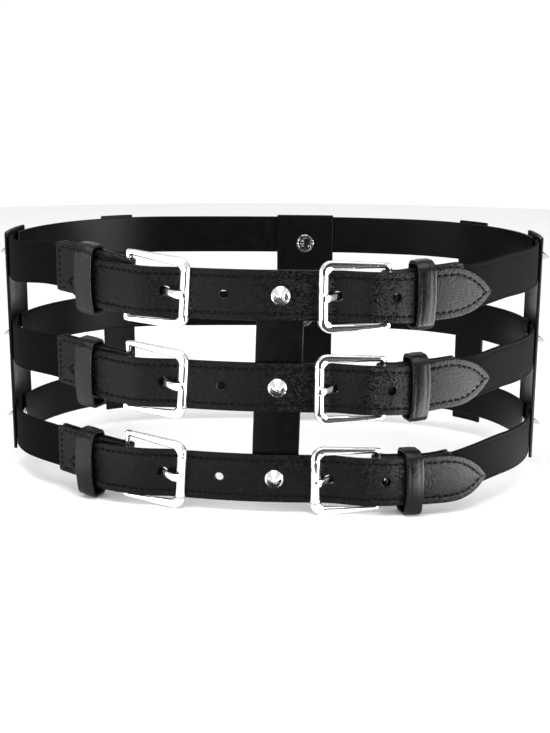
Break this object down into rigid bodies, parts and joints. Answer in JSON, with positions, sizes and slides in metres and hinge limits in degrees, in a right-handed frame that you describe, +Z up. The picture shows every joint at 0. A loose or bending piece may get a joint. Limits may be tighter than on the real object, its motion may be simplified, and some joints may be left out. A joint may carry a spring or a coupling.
{
  "type": "harness belt",
  "caption": "Wide harness belt: buckled rows of leather with elastic sides and a smooth back, held apart by upright straps with cone studs.",
  "frame": {"origin": "middle of the belt's outer box seen from above, at its lowest point", "axes": "+X to the viewer's right along the front, +Y from the front to the back, +Z up"},
  "size_m": [0.3008, 0.1766, 0.133],
  "materials": {
    "leather": "fine grained black, satin",
    "band": "smooth coated black, soft sheen",
    "elastic": "woven ribbed black, matt",
    "hardware": "polished"
  },
  "bodies": {
    "root": {"billet_top": "leather", "back_band_top": "band", "elastic_top_left": "elastic", "chape_top_left": "leather", "keeper_top_left": "leather", "buckle_frame_top_left": "hardware", "roller_top_left": "hardware", "tongue_top_left": "hardware", "elastic_top_right": "elastic", "chape_top_right": "leather", "keeper_top_right": "leather", "buckle_frame_top_right": "hardware", "roller_top_right": "hardware", "tongue_top_right": "hardware", "stud_top_front": "hardware", "stud_top_right": "hardware", "stud_top_left": "hardware", "rivet_top": "hardware", "billet_middle": "leather", "back_band_middle": "band", "elastic_middle_left": "elastic", "chape_middle_left": "leather", "keeper_middle_left": "leather", "buckle_frame_middle_left": "hardware", "roller_middle_left": "hardware", "tongue_middle_left": "hardware", "elastic_middle_right": "elastic", "chape_middle_right": "leather", "keeper_middle_right": "leather", "buckle_frame_middle_right": "hardware", "roller_middle_right": "hardware", "tongue_middle_right": "hardware", "stud_middle_front": "hardware", "stud_middle_right": "hardware", "stud_middle_left": "hardware", "rivet_middle": "hardware", "billet_bottom": "leather", "back_band_bottom": "band", "elastic_bottom_left": "elastic", "chape_bottom_left": "leather", "keeper_bottom_left": "leather", "buckle_frame_bottom_left": "hardware", "roller_bottom_left": "hardware", "tongue_bottom_left": "hardware", "elastic_bottom_right": "elastic", "chape_bottom_right": "leather", "keeper_bottom_right": "leather", "buckle_frame_bottom_right": "hardware", "roller_bottom_right": "hardware", "tongue_bottom_right": "hardware", "stud_bottom_front": "hardware", "stud_bottom_right": "hardware", "stud_bottom_left": "hardware", "rivet_bottom": "hardware", "strap_front": "leather", "strap_side_right": "leather", "strap_back_right": "leather", "strap_back": "leather", "strap_back_left": "leather", "strap_side_left": "leather"}
  },
  "joints": []
}
